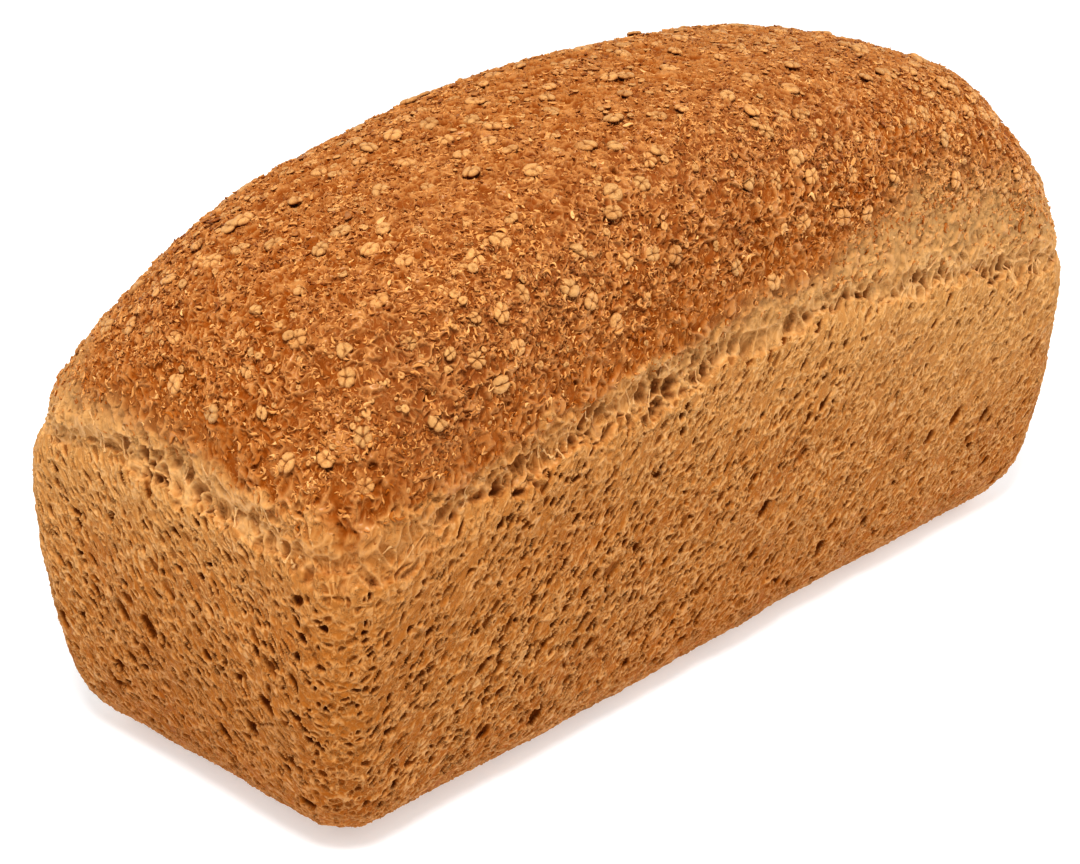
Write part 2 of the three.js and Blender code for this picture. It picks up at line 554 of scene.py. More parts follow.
def torn_relief(points, rise, ragged, crust):
    """Depth of the pockets in the break in mm, and how near a wall of crumb is, 0 to 1."""
    half = crust.break_width / 2

    # Two sizes of pocket, drawn upwards and following the break, and thin curls between them
    drawn = points.copy()
    drawn[:, 2] = 0.62 * rise
    stir(drawn, points, 1.5, 4.0, 61)
    inside, number = crumb_cells(drawn, 4.3, 71)
    small_inside, small_number = crumb_cells(drawn, 1.9, 81)
    pockets = (0.25 + 0.75 * number) * ease(0.03, 0.3, inside)
    small = (0.1 + 0.7 * small_number) * ease(0.04, 0.3, small_inside)
    curls = curled_lines(drawn, 1.3, 0.2, 221)

    # The pockets are deepest low in the band, where the dough tore away from the wall
    tucked = ease(half, -half, ragged)
    pockets *= crust.break_depth * (0.6 + 0.4 * tucked)
    depth = 0.2 * crust.break_depth * tucked + pockets + small - 0.35 * curls
    rim = np.maximum(edge_line(inside, 0.09), 0.6 * edge_line(small_inside, 0.12))
    rim = np.maximum(rim, 0.7 * curls)
    return depth, rim


def curled_lines(points, size, width, salt):
    """Thin curled lines, from 0 to 1, which come and go."""
    inside = crumb_cells(points, size, salt)[0]
    shown = ease(-0.15, 0.2, soft_noise(points, size * 0.9, salt + 7))
    return shown * edge_line(inside, width)


def vault_relief(points, rise):
    """Depth of the vault's curled wrinkles in mm, and how near the top of one is, 0 to 1."""
    # Curls high on the vault, and fibres that were drawn upwards near the break
    folded = points.copy()
    stir(folded, points, 1.1, 2.4, 91)
    fibres = folded.copy()
    fibres[:, 2] /= 2.4
    low = ease(20, 7, rise)
    curls = np.maximum(
        curled_lines(folded, 2.7, 0.17, 101), 0.8 * curled_lines(folded, 1.8, 0.2, 111)
    )
    drawn = np.maximum(
        curled_lines(fibres, 2.8, 0.17, 181), 0.7 * curled_lines(fibres, 1.9, 0.2, 191)
    )
    lines = curls * (1 - low) + drawn * low

    # Rough bumps and two sizes of small hole
    bumps = rough_noise(folded, 2.4, 121, 4)
    holes = bubbles(points, 7.5, 0.05, 0.17, 0.6, 131)
    small_holes = bubbles(folded, 2.4, 0.1, 0.32, 0.55, 135)
    height = 0.9 * lines + 0.5 * bumps - 1.1 * holes - 1.0 * small_holes - 0.3
    return -height, lines


def grow_crust(mesh, crust):
    """Moves the points of the divided body to their places on the crust."""
    points, normals = read_points(mesh)
    rise = height_over_break(points, crust)

    # Shares of wall, torn band and vault. The band has ragged edges, varies in height, is
    # narrow at the upright corners, and gapes in some places more than in others.
    ragged = rise + 2.3 * soft_noise(points, 6, 141) + 1.9 * soft_noise(points, 2.2, 142)
    flat = ease(0.1, 0.75, np.abs(normals[:, 0] ** 2 - normals[:, 1] ** 2))
    half = (crust.break_width / 2) * (1 + 0.45 * soft_noise(points, 19, 143))
    half *= 0.5 + 0.5 * flat
    wall = ease(-half + 0.6, -half - 0.6, ragged)
    vault = ease(half - 1.5, half + 2.2, ragged)
    torn = np.clip(1 - wall - vault, 0, 1)
    gape = 0.4 + 0.6 * ease(-0.6, 0.25, soft_noise(points, 12, 151))

    wall_depth, wall_rim = in_parts(
        lambda *given: wall_relief(*given, crust), wall > 0, points, flat
    )
    torn_depth, torn_rim = in_parts(
        lambda *given: torn_relief(*given, crust), torn > 0, points, rise, ragged
    )
    vault_depth, vault_rim = in_parts(vault_relief, vault > 0, points, rise)
    depth = wall * wall_depth + torn * gape * torn_depth + vault * vault_depth

    # The base stays nearly flat; elsewhere the dough swells a little, and it fills the groove
    under = ease(-0.7, -0.97, normals[:, 2]) * ease(3, 0.5, points[:, 2])
    depth *= 1 - 0.75 * under
    swell = 0.7 * soft_noise(points, 34, 161) + 0.35 * soft_noise(points, 12, 162)
    filled = 1.3 * np.exp(-((rise / 4.8) ** 2)) * (1.3 - 0.8 * gape)
    outward = (swell + 0.2 * wall - 0.7 * vault) * (1 - under) + filled - depth
    moved = points + normals * outward[:, None]
    moved[:, 2] = np.maximum(moved[:, 2], 0)
    mesh.vertices.foreach_set("co", (moved * MM).ravel())

    mark_points(mesh, "rise", rise)
    mark_points(mesh, "depth", np.clip(depth, -1, 6))
    mark_points(mesh, "rim", wall * wall_rim + torn * torn_rim + vault * vault_rim)
    mark_points(mesh, "torn", torn * gape)
    mark_points(mesh, "tan", soft_noise(points, 80, crust.tan_pattern))
    mark_directions(mesh, normals)
    mark_points(mesh, "vault", np.clip(vault + 0.5 * torn * (1 - gape), 0, 1))
    mesh.update()
    return points, normals


def lay_out_crust(mesh, points, normals):
    """Six charts, one to each side of the loaf, for a map of the crust."""
    size = [(CAD_BOX[1][axis] - CAD_BOX[0][axis]) / MM for axis in range(3)]
    gap = 3
    total = 2 * (size[1] + size[2]) + 5 * gap
    corner = np.empty(len(mesh.loops), np.int32)
    mesh.loops.foreach_get("vertex_index", corner)
    starts = corner.reshape(-1, 4)
    face_normal = normals[starts].sum(axis=1)
    flat = points - np.array([CAD_BOX[0][axis] / MM for axis in range(3)], np.float32)
    axis_of = np.abs(face_normal).argmax(axis=1)
    sign = np.take_along_axis(face_normal, axis_of[:, None], axis=1)[:, 0] > 0
    place = np.zeros((len(starts), 4, 2), np.float32)
    right = size[0] + 2 * gap
    # The axis that a chart faces along, whether it faces up that axis, the axes that run
    # across it and up it, and its corner on the map in mm
    charts = [
        (1, False, 0, 2, (gap, gap)),
        (1, True, 0, 2, (gap, 2 * gap + size[2])),
        (2, True, 0, 1, (gap, 3 * gap + 2 * size[2])),
        (2, False, 0, 1, (gap, 4 * gap + 2 * size[2] + size[1])),
        (0, False, 1, 2, (right, gap)),
        (0, True, 1, 2, (right, 2 * gap + size[2])),
    ]
    for axis, positive, across, up, origin in charts:
        chosen = (axis_of == axis) & (sign == positive)
        spots = flat[starts[chosen]]
        place[chosen, :, 0] = spots[:, :, across] + origin[0]
        place[chosen, :, 1] = spots[:, :, up] + origin[1]
    layer = mesh.uv_layers.new(name="OFBake")
    layer.uv.foreach_set("vector", (place / total).astype(np.float32).ravel())


class SPELT_OT_crust(bpy.types.Operator):
    """Grow the loaf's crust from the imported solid"""

    bl_idname = "spelt_loaf.crust"
    bl_label = "Grow the crust"

    def execute(self, context):
        crust = in_millimetres(context.scene.spelt_crust)
        mesh = divided_body(crust.face)
        points, normals = grow_crust(mesh, crust)
        lay_out_crust(mesh, points, normals)
        piece = build_piece("loaf_crust", mesh, crust_material(context.scene.spelt_colours))
        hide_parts("loaf")
        return {"FINISHED"}


# ---- Strands of crumb across the break ----


def crust_surface():
    """The finished crust's points, directions, smooth directions and height over the break."""
    mesh = bpy.data.objects["loaf_crust"].data
    points, normals = read_points(mesh)
    return points, normals, read_directions(mesh), read_marks(mesh, "rise")


def strand_ends(draw, points, facing, rise, crust, count):
    """Pairs of places on the ridges of the break, the second above the first."""
    rim = read_marks(bpy.data.objects["loaf_crust"].data, "rim")
    straight = np.abs(facing[:, 0] ** 2 - facing[:, 1] ** 2) > 0.6
    near_break = np.abs(rise) < crust.break_width / 2 + 1
    anchors = np.flatnonzero(straight & near_break & (rim > 0.5))
    starts = []
    ends = []
    for start in draw.choice(anchors, count):
        gap = points[anchors] - points[start]
        reach = np.linalg.norm(gap, axis=1)
        long_enough = (reach > SHORTEST_STRAND) & (reach < LONGEST_STRAND)
        fitting = anchors[long_enough & (gap[:, 2] > 0.6 * reach)]
        if len(fitting):
            starts.append(start)
            ends.append(draw.choice(fitting))
    return np.array(starts), np.array(ends)


class SPELT_OT_strands(bpy.types.Operator):
    """Draw thin strands of crumb across the pockets of the break"""

    bl_idname = "spelt_loaf.strands"
    bl_label = "Draw the strands"

    def execute(self, context):
        topping = in_millimetres(context.scene.spelt_topping)
        crust = in_millimetres(context.scene.spelt_crust)
        draw = np.random.default_rng(STRAND_SEED)
        points, normals, facing, rise = crust_surface()
        starts, ends = strand_ends(draw, points, facing, rise, crust, topping.strands)
        count = len(starts)

        # Middle lines: each runs from ridge to ridge, bows out or in, and sways a little
        way = np.linspace(0, 1, STRAND_RINGS)
        first = points[starts] - 0.2 * normals[starts]
        last = points[ends] - 0.2 * normals[ends]
        outward = normals[starts] + normals[ends]
        outward /= np.linalg.norm(outward, axis=1)[:, None]
        middle = first[:, None] + (last - first)[:, None] * way[None, :, None]
        bow = draw.uniform(-0.5, 0.5, count)[:, None] * np.sin(math.pi * way)[None]
        middle += outward[:, None] * bow[:, :, None]
        sideways = np.cross(outward, last - first)
        sideways /= np.linalg.norm(sideways, axis=1)[:, None] + 1e-6
        sway = draw.normal(0, 0.12, (count, STRAND_RINGS))
        middle += sideways[:, None] * sway[:, :, None]

        # Flattened rings round them, thinnest half way along
        thick = topping.strand_width * draw.uniform(0.6, 1.2, count)[:, None]
        waist = 0.5 + 1.1 * np.abs(2 * way - 1) ** 2
        radius = 0.5 * thick * waist[None]
        turn = np.arange(STRAND_SIDES) * FULL_TURN / STRAND_SIDES
        ring = (
            sideways[:, None, None] * np.cos(turn)[None, None, :, None] * 1.4
            + outward[:, None, None] * np.sin(turn)[None, None, :, None]
        )
        spots = middle[:, :, None] + ring * radius[:, :, None, None]

        faces = tube_faces(count, STRAND_RINGS, STRAND_SIDES)
        kinds = [(count, STRAND_RINGS, STRAND_SIDES, False, 1)]
        mesh = mesh_from_tubes("break_strands", spots.reshape(-1, 3), faces, kinds)
        build_piece("break_strands", mesh, crumb_material(context.scene.spelt_colours))
        return {"FINISHED"}


# ---- Flakes and bran ----


def turned_frames(normals, angles):
    """For each direction, two directions square to it, turned by an angle."""
    helper = np.where(np.abs(normals[:, 2:3]) < 0.9, [[0.0, 0.0, 1.0]], [[1.0, 0.0, 0.0]])
    across = np.cross(helper, normals)
    across /= np.linalg.norm(across, axis=1)[:, None]
    along = np.cross(normals, across)
    cosine = np.cos(angles)[:, None]
    sine = np.sin(angles)[:, None]
    return across * cosine + along * sine, along * cosine - across * sine


def flake_shape(draw, width, outs, steps):
    """One pressed grain: a lobed, dimpled disc with creases. Points, faces and painted shade.
    """
    turn = np.arange(steps) * FULL_TURN / steps

    # Creases run from the middle out to the notches between the lobes
    lobes = draw.choice([2, 3, 4, 5, 6], p=[0.16, 0.22, 0.3, 0.22, 0.1])
    first = draw.uniform(0, FULL_TURN)
    crease = np.zeros(steps)
    for lobe in range(lobes):
        middle = first + lobe * FULL_TURN / lobes + draw.normal(0, 0.2)
        apart = np.abs((turn - middle + math.pi) % FULL_TURN - math.pi)
        sharp = np.exp(-((apart / draw.uniform(0.12, 0.2)) ** 2))
        crease = np.maximum(crease, sharp * draw.uniform(0.5, 1))
    edge = 1 + draw.uniform(0, 0.08) * np.cos(2 * turn + first) - 0.2 * crease
    edge += draw.normal(0, 0.02, steps)
    oval = draw.uniform(0.76, 1.0)
    thick = draw.uniform(0.26, 0.36)
    levels = []
    fold_shades = []

    # The top: a low dome with a dimple in the middle. Painted shade darkens the creases and the
    # dimple, and a painted shadow the rim.
    for out in outs:
        dome = thick * (1 - out**4) ** 0.6
        dimple = 0.2 * math.exp(-((out / 0.24) ** 2))
        fold = 0.26 * crease * math.sin(math.pi * min(out * 0.9 + 0.1, 1)) ** 0.6
        ripple = 0.03 * np.cos(5 * turn + first) * out
        x = out * edge * np.cos(turn)
        y = out * edge * oval * np.sin(turn)
        levels.append(np.stack([x, y, dome - dimple - fold + ripple], axis=1))
        dimple_and_rim_shade = math.exp(-((out / 0.2) ** 2)) + 0.4 * out**12
        fold_shades.append(np.clip(crease * (0.4 + 0.6 * out) + dimple_and_rim_shade, 0, 1))

    # The underside: flat, a little smaller, and painted wholly in shade
    for out in reversed(outs):
        x = 0.94 * out * edge * np.cos(turn)
        y = 0.94 * out * edge * oval * np.sin(turn)
        levels.append(np.stack([x, y, np.full(steps, -0.12)], axis=1))
        fold_shades.append(np.ones(steps))
    points = np.concatenate(levels) * width / 2

    # One in four has lost a piece along a straight line
    if draw.random() < 0.25:
        cut = draw.uniform(-0.1, 0.4) * width / 2
        points[:, 0] = np.minimum(points[:, 0], cut + 0.1 * (points[:, 0] - cut))
        points[:, 0] -= cut / 2
    return points, tube_faces(1, len(levels), steps), np.concatenate(fold_shades)


def spaced_places(draw, points, weights, count, apart):
    """Chosen places on the crust, kept that far apart in mm."""
    order = draw.choice(len(points), min(len(points), 30 * count), p=weights / weights.sum())
    taken = np.empty((0, 3))
    chosen = []
    for index in order:
        if len(taken):
            gap = ((taken - points[index]) ** 2).sum(axis=1).min()
            if gap < (apart * draw.uniform(0.75, 3.2)) ** 2:
                continue
        taken = np.vstack([taken, points[index]])
        chosen.append(index)
        if len(chosen) == count:
            break
    return np.array(chosen)


class SPELT_OT_flakes(bpy.types.Operator):
    """Scatter the topping flakes and their broken bits over the vault"""

    bl_idname = "spelt_loaf.flakes"
    bl_label = "Scatter the flakes"

    def execute(self, context):
        topping = in_millimetres(context.scene.spelt_topping)
        draw = np.random.default_rng(FLAKE_SEED)
        points, normals, facing, rise = crust_surface()

        # They gather in patches and towards the crest, and lie nearly flat, turned any way
        gathered = ease(-0.5, 0.5, soft_noise(points, 26, 171))
        weights = ease(6, 30, rise) * (0.45 + 0.55 * gathered)
        weights *= 0.6 + 0.4 * ease(25, 50, rise)
        weights = weights.astype(np.float64)
        whole = spaced_places(draw, points, weights, topping.flakes, 3.6)
        bits = draw.choice(len(points), topping.bits, p=weights / weights.sum())
        places = np.concatenate([whole, bits])
        up = facing[places] + 0.12 * normals[places] + draw.normal(0, 0.1, (len(places), 3))
        up /= np.linalg.norm(up, axis=1)[:, None]
        across, along = turned_frames(up, draw.uniform(0, FULL_TURN, len(places)))

        all_points = []
        all_faces = []
        fold_shades = []
        tones = []
        total = 0
        for index, place in enumerate(places):
            if index < len(whole):
                scale = draw.choice([1, 0.92, 0.82, 0.62], p=[0.4, 0.3, 0.18, 0.12])
                width = topping.flake_width * scale
                shape, faces, fold = flake_shape(draw, width, WHOLE_RINGS, WHOLE_SIDES)
            else:
                width = topping.bit_width * draw.lognormal(0, 0.3)
                shape, faces, fold = flake_shape(draw, width, BIT_RINGS, BIT_SIDES)
                # Broken bits carry half as much painted shade
                fold = fold * 0.5
            spot = points[place] + up[index] * 0.06
            placed = spot + shape @ np.array([across[index], along[index], up[index]])
            all_points.append(placed)
            all_faces.append(faces + total)
            fold_shades.append(fold)
            tones.append(np.full(len(shape), draw.random()))
            total += len(shape)

        kinds = [
            (len(whole), 2 * len(WHOLE_RINGS), WHOLE_SIDES, False, 0.8),
            (len(bits), 2 * len(BIT_RINGS), BIT_SIDES, False, 0.2),
        ]
        points = np.concatenate(all_points)
        mesh = mesh_from_tubes("spelt_flakes", points, np.concatenate(all_faces), kinds)
        # The fold mark is painted shade in the creases, dimple and underside, and a painted
        # shadow round the rim
        mark_points(mesh, "fold", np.concatenate(fold_shades))
        mark_points(mesh, "tone", np.concatenate(tones))
        build_piece("spelt_flakes", mesh, flake_material(context.scene.spelt_colours))
        return {"FINISHED"}


class SPELT_OT_bran(bpy.types.Operator):
    """Scatter small bran chips over the vault"""

    bl_idname = "spelt_loaf.bran"
    bl_label = "Scatter the bran"

    def execute(self, context):
        topping = in_millimetres(context.scene.spelt_topping)
        draw = np.random.default_rng(BRAN_SEED)
        points, normals, facing, rise = crust_surface()

        # They start just over the break, gather in patches, and tilt with the wrinkles
        weights = (0.2 + ease(4, 20, rise)) * ease(1, 4, rise)
        weights *= 0.4 + 0.6 * ease(-0.35, 0.35, soft_noise(points, 13, 175))
        weights = weights.astype(np.float64)
        count = topping.chips
        places = draw.choice(len(points), count, p=weights / weights.sum())
        up = facing[places] + 0.5 * normals[places] + draw.normal(0, 0.1, (count, 3))
        up /= np.linalg.norm(up, axis=1)[:, None]
        across, along = turned_frames(up, draw.uniform(0, FULL_TURN, count))

        # Each is a thin bent slip that narrows to its ends
        length = topping.chip_length * draw.lognormal(-0.1, 0.38, count)
        width = length * draw.uniform(0.3, 0.58, count)
        thick = draw.uniform(0.22, 0.42, count)
        curl = draw.uniform(0.0, 0.14, count) * length
        bend = draw.normal(0, 0.4, count) * length
        twist = draw.normal(0, 0.16, count) * length
        sides = len(CHIP_SECTION)
        spots = np.empty((count, CHIP_RINGS, sides, 3))
        for index, step in enumerate(np.linspace(-1, 1, CHIP_RINGS)):
            narrow = 1 - 0.6 * step**2
            height = curl * step**2 - 0.02
            side = bend * step**2 + twist * step**3
            for corner, (edge, level) in enumerate(CHIP_SECTION):
                spots[:, index, corner] = (
                    points[places]
                    + across * (0.5 * step * length)[:, None]
                    + along * (side + 0.5 * edge * narrow * width)[:, None]
                    + up * (height + (level - 0.5) * thick)[:, None]
                )

        faces = tube_faces(count, CHIP_RINGS, sides, capped=True)
        kinds = [(count, CHIP_RINGS, sides, True, 1)]
        mesh = mesh_from_tubes("bran_chips", spots.reshape(-1, 3), faces, kinds)
        mark_points(mesh, "tone", np.repeat(draw.random(count), CHIP_RINGS * sides))
        mark_points(mesh, "rise", np.repeat(rise[places], CHIP_RINGS * sides))
        build_piece("bran_chips", mesh, bran_material(context.scene.spelt_colours))
        return {"FINISHED"}


# ---- Shader nodes ----


def add_node(tree, kind, **inputs):
    """A node with its inputs. An input is a value or another node's socket."""
    node = tree.nodes.new(kind)
    for name, value in inputs.items():
        feed(tree, node.inputs[name.replace("_", " ")], value)
    return node


def feed(tree, socket, value):
    """Links another node's socket to an input, or sets the input to a value."""
    if isinstance(value, bpy.types.NodeSocket):
        tree.links.new(value, socket)
    elif socket.type == "RGBA" and len(value) == 3:
        socket.default_value = (*value, 1)
    else:
        socket.default_value = value


def maths(tree, operation, first, second=0.0, third=0.0):
    """The result of a sum on numbers or sockets."""
    node = tree.nodes.new("ShaderNodeMath")
    node.operation = operation
    for socket, value in zip(node.inputs, (first, second, third)):
        feed(tree, socket, value)
    return node.outputs[0]


def mixed(tree, factor, first, second, mode="MIX"):
    """Two colours, mixed. The node's sockets 0, 6 and 7 are its factor and the colours."""
    node = tree.nodes.new("ShaderNodeMix")
    node.data_type = "RGBA"
    node.blend_type = mode
    node.clamp_factor = True
    feed(tree, node.inputs[0], factor)
    feed(tree, node.inputs[6], first)
    feed(tree, node.inputs[7], second)
    return node.outputs[2]


def spread(tree, value, low, high, start=0.0, end=1.0):
    """A value from one range as another range, clipped, with smooth ends."""
    node = tree.nodes.new("ShaderNodeMapRange")
    node.interpolation_type = "SMOOTHSTEP"
    for socket, number in zip(node.inputs, (value, low, high, start, end)):
        feed(tree, socket, number)
    return node.outputs[0]


def mark(tree, name):
    """A number that the mesh's points carry."""
    node = tree.nodes.new("ShaderNodeAttribute")
    node.attribute_name = name
    return node.outputs["Fac"]


def object_place(tree):
    """Where a point is on the loaf, in metres."""
    return tree.nodes.new("ShaderNodeTexCoord").outputs["Object"]


def noise(tree, vector, size, detail=3.0, rough=0.55):
    """Noise whose lumps have that size in mm."""
    node = cell_noise(tree, vector, 1 / (size * MM), detail)
    feed(tree, node.inputs["Roughness"], rough)
    return node.outputs["Fac"]


def cell_noise(tree, vector, scale, detail):
    """A noise node for a vector that is already measured in cells."""
    return add_node(tree, "ShaderNodeTexNoise", Vector=vector, Scale=scale, Detail=detail)


def times(tree, vector, factor):
    """A vector times a number."""
    node = tree.nodes.new("ShaderNodeVectorMath")
    node.operation = "SCALE"
    feed(tree, node.inputs[0], vector)
    feed(tree, node.inputs["Scale"], factor)
    return node.outputs[0]


def new_group(name, inputs, outputs):
    """An empty shader group with its sockets, and its input and output nodes."""
    tree = bpy.data.node_groups.new(name, "ShaderNodeTree")
    for label, kind, default in inputs:
        socket = tree.interface.new_socket(label, in_out="INPUT", socket_type=kind)
        socket.default_value = default
    for label, kind in outputs:
        tree.interface.new_socket(label, in_out="OUTPUT", socket_type=kind)
    return tree, tree.nodes.new("NodeGroupInput"), tree.nodes.new("NodeGroupOutput")


def placed_group(tree, group, **inputs):
    """A shader group put to use in a material, with its inputs."""
    node = tree.nodes.new("ShaderNodeGroup")
    node.node_tree = group
    for name, value in inputs.items():
        feed(tree, node.inputs[name.replace("_", " ")], value)
    return node


def oven_tint_group():
    """Uneven browning: a colour made darker and redder, or lighter, in soft patches."""
    name = "oven tint"
    if name in bpy.data.node_groups:
        return bpy.data.node_groups[name]
    tree, given, result = new_group(
        name,
        [
            ("Colour", "NodeSocketColor", (0.5, 0.3, 0.1, 1)),
            ("Amount", "NodeSocketFloat", 0.5),
            ("Patch", "NodeSocketFloat", 1.0),
        ],
        [("Colour", "NodeSocketColor")],
    )
    colour = given.outputs["Colour"]
    amount = given.outputs["Amount"]
    spot = times(tree, object_place(tree), given.outputs["Patch"])
    large = noise(tree, spot, 16, 2.0)
    small = noise(tree, spot, 1.6, 3.0, 0.6)
    darker = mixed(tree, 1.0, colour, shade(214, 182, 150), "MULTIPLY")
    lighter = mixed(tree, 0.45, colour, shade(244, 206, 156))
    dark_part = maths(tree, "MULTIPLY", spread(tree, large, 0.5, 0.68), amount)
    browned = mixed(tree, dark_part, colour, darker)
    light_part = maths(tree, "MULTIPLY", spread(tree, small, 0.52, 0.75), amount)
    feed(tree, result.inputs["Colour"], mixed(tree, light_part, browned, lighter))
    return tree


def crumb_grain_group():
    """Relief that is too fine for the mesh: cells, some of them pits, and thin curled folds.

    Size is the width of a cell in mm. Height is in mm; the other results go from 0 to 1.
    """
    name = "crumb grain"
    if name in bpy.data.node_groups:
        return bpy.data.node_groups[name]
    tree, given, result = new_group(
        name,
        [("Size", "NodeSocketFloat", 1.0), ("Stretch", "NodeSocketFloat", 1.0)],
        [
            ("Height", "NodeSocketFloat"),
            ("Ridge", "NodeSocketFloat"),
            ("Hollow", "NodeSocketFloat"),
        ],
    )
    size = given.outputs["Size"]

    # Places measured in cells, slanted and stretched upwards, then bent by noise
    parts = add_node(tree, "ShaderNodeSeparateXYZ", Vector=object_place(tree))
    joined = tree.nodes.new("ShaderNodeCombineXYZ")
    lean = maths(tree, "MULTIPLY", parts.outputs[2], -LEAN)
    feed(tree, joined.inputs[0], maths(tree, "ADD", parts.outputs[0], lean))
    feed(tree, joined.inputs[1], maths(tree, "ADD", parts.outputs[1], lean))
    squeezed = maths(tree, "DIVIDE", parts.outputs[2], given.outputs["Stretch"])
    feed(tree, joined.inputs[2], squeezed)
    spot = times(tree, joined.outputs[0], maths(tree, "DIVIDE", 1 / MM, size))
    warp = cell_noise(tree, spot, 0.8, 2.0)
    shifted = tree.nodes.new("ShaderNodeVectorMath")
    shifted.operation = "MULTIPLY_ADD"
    feed(tree, shifted.inputs[0], warp.outputs["Color"])
    feed(tree, shifted.inputs[1], (1.8, 1.8, 1.8))
    feed(tree, shifted.inputs[2], spot)
    vector = shifted.outputs[0]

    # Some cells are pits, with walls of their own width and a rim round them
    cells = add_node(tree, "ShaderNodeTexVoronoi", Vector=vector, Scale=1.0)
    cells.feature = "DISTANCE_TO_EDGE"
    nearest = add_node(tree, "ShaderNodeTexVoronoi", Vector=vector, Scale=1.0)
    own = add_node(tree, "ShaderNodeSeparateColor", Color=nearest.outputs["Color"])
    deep = spread(tree, own.outputs[0], 0.3, 0.75)
    narrow = maths(tree, "MULTIPLY_ADD", own.outputs[1], 0.2, 0.04)
    edge = maths(tree, "SUBTRACT", cells.outputs["Distance"], narrow)
    pit = maths(tree, "MULTIPLY", spread(tree, edge, 0.0, 0.2), deep)
    near_edge = maths(tree, "ABSOLUTE", maths(tree, "ADD", edge, 0.03))
    rim = maths(tree, "MULTIPLY", spread(tree, near_edge, 0.0, 0.06, 1.0, 0.0), deep)

    # Thin folds that come and go between the pits
    swirl = cell_noise(tree, spot, 0.75, 1.0)
    curl = maths(tree, "ABSOLUTE", maths(tree, "SUBTRACT", swirl.outputs["Fac"], 0.5))
    fold = spread(tree, curl, 0.0, 0.045, 1.0, 0.0)
    presence = cell_noise(tree, spot, 0.45, 1.0)
    fold = maths(tree, "MULTIPLY", fold, spread(tree, presence.outputs["Fac"], 0.44, 0.58))
    fold = maths(tree, "MULTIPLY", fold, maths(tree, "SUBTRACT", 1.0, pit))

    grit = cell_noise(tree, spot, 2.6, 3.0)
    height = maths(tree, "MULTIPLY", grit.outputs["Fac"], 0.16)
    height = maths(tree, "MULTIPLY_ADD", fold, 0.22, height)
    height = maths(tree, "MULTIPLY_ADD", rim, 0.08, height)
    height = maths(tree, "MULTIPLY_ADD", pit, -0.26, height)
    feed(tree, result.inputs["Height"], maths(tree, "MULTIPLY", height, size))
    ridge = maths(tree, "MAXIMUM", fold, maths(tree, "MULTIPLY", rim, 0.8))
    feed(tree, result.inputs["Ridge"], ridge)
    feed(tree, result.inputs["Hollow"], pit)
    return tree


def new_material(name, roughness, specular, sheen=(1, 1, 1)):
    """A material, its node tree and its shader. Sheen is the colour of its highlights."""
    material = bpy.data.materials.new(name)
    material.use_nodes = True
    tree = material.node_tree
    shader = tree.nodes["Principled BSDF"]
    shader.inputs["Roughness"].default_value = roughness
    shader.inputs["Specular IOR Level"].default_value = specular
    shader.inputs["Specular Tint"].default_value = (*sheen, 1)
    return material, tree, shader


def add_bump(tree, shader, height, strength=1.0):
    """Relief from a height in mm."""
    bump = add_node(tree, "ShaderNodeBump", Height=height, Strength=strength, Distance=MM)
    tree.links.new(bump.outputs[0], shader.inputs["Normal"])


